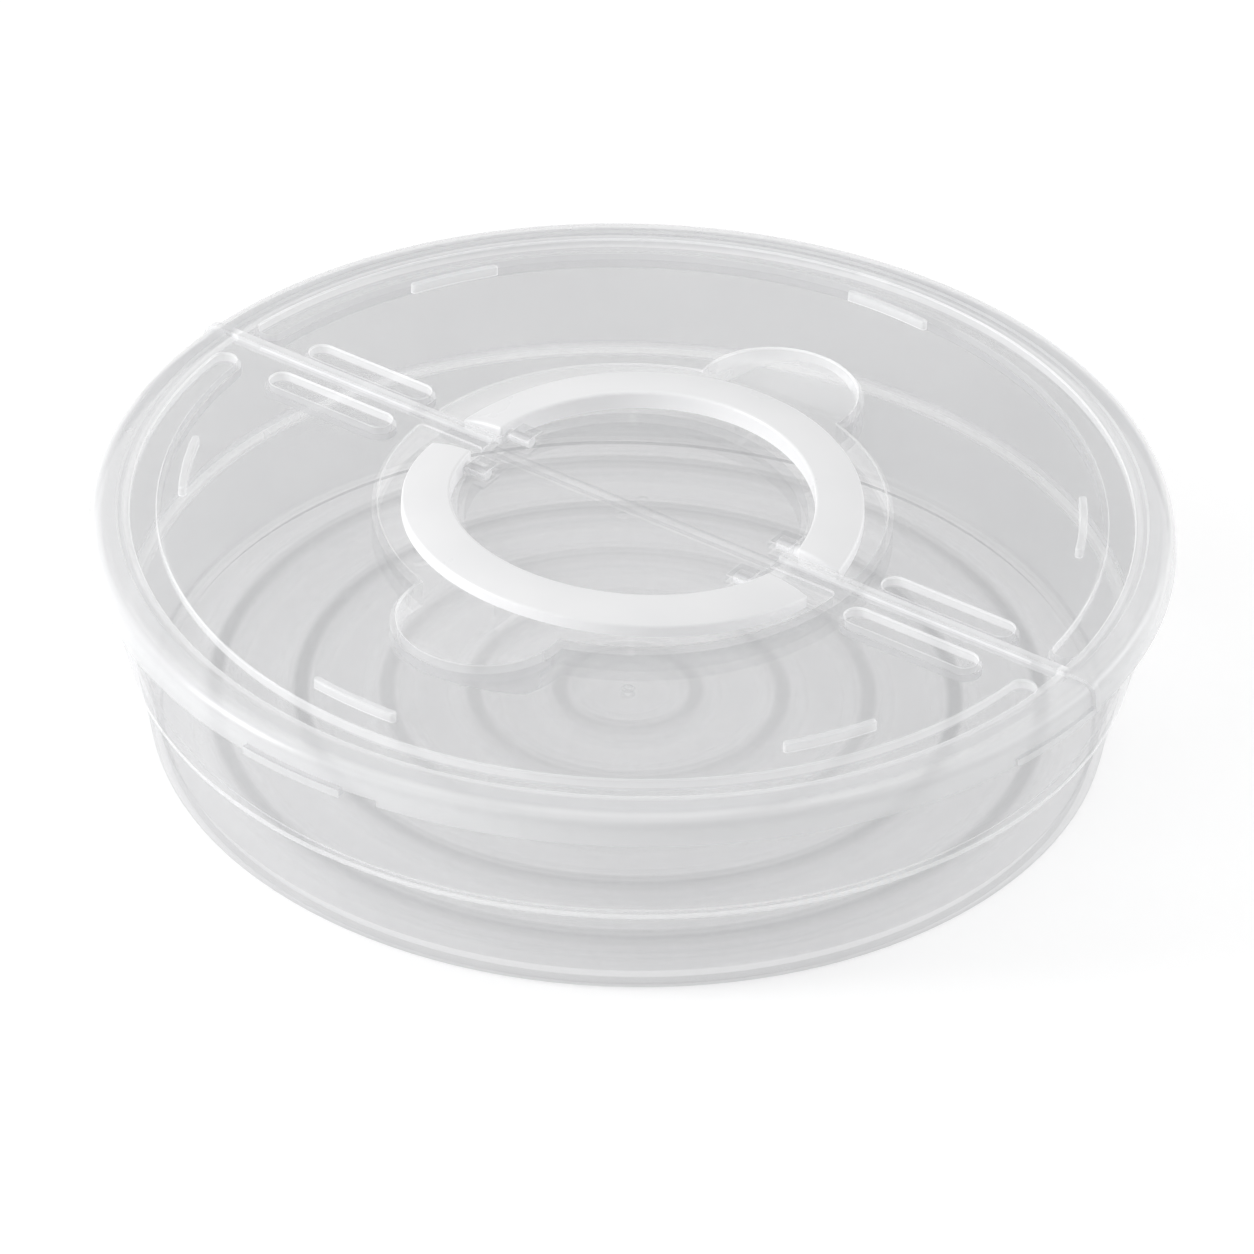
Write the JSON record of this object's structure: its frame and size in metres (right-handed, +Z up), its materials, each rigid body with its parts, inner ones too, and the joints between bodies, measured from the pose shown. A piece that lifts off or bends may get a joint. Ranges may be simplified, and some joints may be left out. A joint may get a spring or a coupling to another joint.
{
  "type": "round food keeper with split lid",
  "caption": "Shallow round clear food keeper with a stepped tray, a split lid in half discs and white half-ring handles that fold flat into the lid.",
  "frame": {"origin": "middle of the foot ring, on the surface that the tray stands on", "axes": "+Z up; X along the seam between the lid halves; +Y towards the rear lid half, the one with the raised lip"},
  "size_m": [0.322, 0.3232, 0.0758],
  "materials": {
    "clear_plastic": "clear, slightly frosted injection-moulded plastic",
    "white_plastic": "milky white moulded plastic with a soft gloss"
  },
  "bodies": {
    "base": {"base_tray": "clear_plastic"},
    "rear_lid": {"rear_lid_half": "clear_plastic"},
    "front_lid": {"front_lid_half": "clear_plastic"},
    "rear_grip": {"rear_handle": "white_plastic"},
    "front_grip": {"front_handle": "white_plastic"}
  },
  "joints": [
    {"name": "rear_lid_lift", "type": "slide", "parent": "base", "child": "rear_lid", "axis": [0, 0, 1], "range_m": [0, 0.08]},
    {"name": "front_lid_lift", "type": "slide", "parent": "base", "child": "front_lid", "axis": [0, 0, 1], "range_m": [0, 0.08]},
    {"name": "rear_handle_fold", "type": "hinge", "parent": "rear_lid", "child": "rear_grip", "pos_m": [0, 0.011, 0.0683], "axis": [1, 0, 0], "range_deg": [0, 85]},
    {"name": "front_handle_fold", "type": "hinge", "parent": "front_lid", "child": "front_grip", "pos_m": [0, -0.011, 0.0683], "axis": [-1, 0, 0], "range_deg": [0, 85]}
  ]
}
